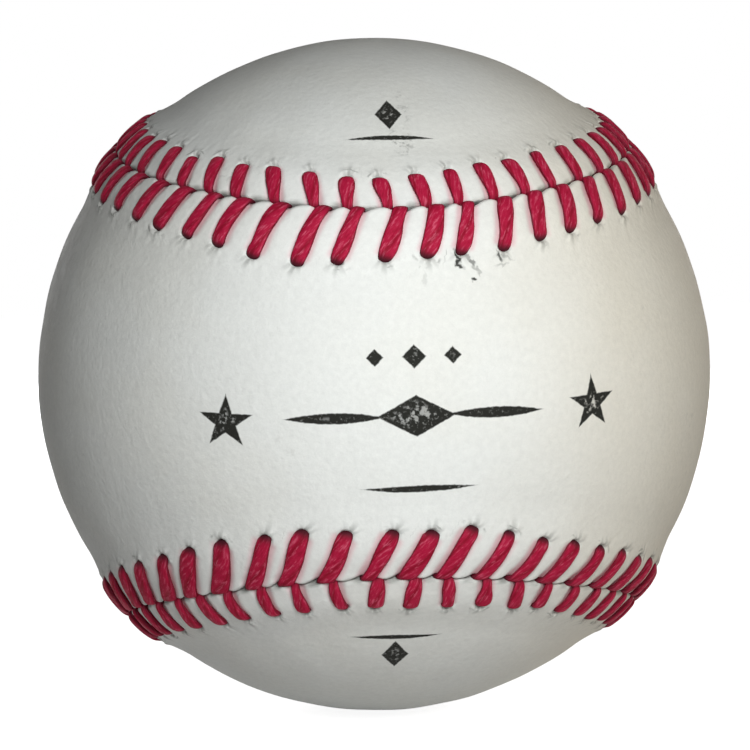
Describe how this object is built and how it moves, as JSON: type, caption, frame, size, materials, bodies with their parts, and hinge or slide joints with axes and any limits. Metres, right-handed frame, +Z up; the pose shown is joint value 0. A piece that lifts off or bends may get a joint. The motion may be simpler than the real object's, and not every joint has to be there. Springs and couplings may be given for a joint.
{
  "type": "baseball",
  "caption": "Hand-sewn white leather baseball with raised red stitching along a looping seam, over yarn windings and a rubber-covered cork core, for pitching, batting and catching.",
  "frame": {"origin": "centre of the ball", "axes": "+Z up, the front cover's narrow neck faces -Y and runs along X, the rear cover's neck stands upright at +Y, so Y is the axis about which a quarter turn changes one cover for the other"},
  "size_m": [0.0736, 0.0736, 0.0736],
  "materials": {
    "cork": "ground cork, matte",
    "black_rubber": "moulded black rubber",
    "red_rubber": "moulded red rubber",
    "grey_wool": "wound grey wool yarn",
    "white_wool": "wound white wool yarn",
    "white_cotton": "thin wound cotton and polyester yarn, glued",
    "white_leather": "white tanned cowhide with fine grain",
    "red_thread": "waxed twisted cotton thread"
  },
  "bodies": {
    "root": {"cork_core": "cork", "black_rubber_half_lower": "black_rubber", "black_rubber_half_upper": "black_rubber", "rubber_gasket": "red_rubber", "red_rubber_half_lower": "red_rubber", "red_rubber_half_upper": "red_rubber", "first_winding": "grey_wool", "second_winding": "white_wool", "third_winding": "grey_wool", "finishing_winding": "white_cotton", "front_cover": "white_leather", "rear_cover": "white_leather", "needle_thread_one": "red_thread", "needle_thread_two": "red_thread"}
  },
  "joints": []
}
